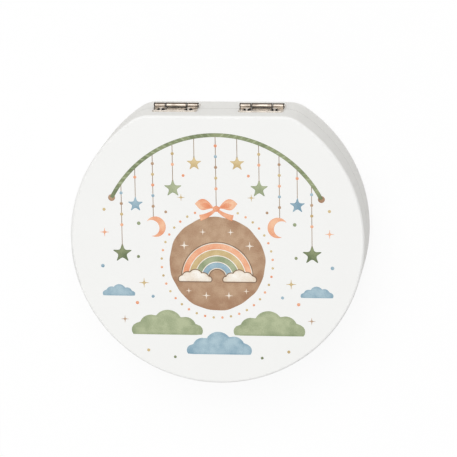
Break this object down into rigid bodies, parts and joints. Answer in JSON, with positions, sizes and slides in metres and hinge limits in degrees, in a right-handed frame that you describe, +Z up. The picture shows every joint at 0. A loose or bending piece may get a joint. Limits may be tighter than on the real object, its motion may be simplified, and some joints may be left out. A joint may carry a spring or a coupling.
{
  "type": "milk tooth box",
  "caption": "Round white lacquered keepsake box with a flat hinged back, a lid that swings fully open, closing magnets, and a drilled wooden tray with wells for milk teeth.",
  "frame": {"origin": "centre of the round outline, on the underside that the box rests on", "axes": "+Z up out of the lid, +Y towards the flat that carries the hinges, +X along the hinge pins"},
  "size_m": [0.114, 0.1082, 0.03],
  "materials": {
    "white_lacquer": "satin white lacquer on fibreboard",
    "tray_wood": "bare sanded beech",
    "hinge_nickel": "nickel plated sheet steel",
    "magnet_plating": "nickel plated disc magnet"
  },
  "bodies": {
    "base": {"base_panel": "white_lacquer", "base_rim": "white_lacquer", "tooth_tray": "tray_wood", "left_hinge_base_leaf": "hinge_nickel", "left_base_nails": "hinge_nickel", "left_base_magnet": "magnet_plating", "right_hinge_base_leaf": "hinge_nickel", "right_base_nails": "hinge_nickel", "right_base_magnet": "magnet_plating"},
    "lid": {"lid_rim": "white_lacquer", "lid_panel": "white_lacquer", "left_hinge_lid_leaf": "hinge_nickel", "left_hinge_pin": "hinge_nickel", "left_lid_nails": "hinge_nickel", "left_lid_magnet": "magnet_plating", "right_hinge_lid_leaf": "hinge_nickel", "right_hinge_pin": "hinge_nickel", "right_lid_nails": "hinge_nickel", "right_lid_magnet": "magnet_plating"}
  },
  "joints": [
    {"name": "lid_hinge", "type": "hinge", "parent": "base", "child": "lid", "pos_m": [0, 0.05032, 0.015], "axis": [-1, 0, 0], "range_deg": [0, 180]}
  ]
}
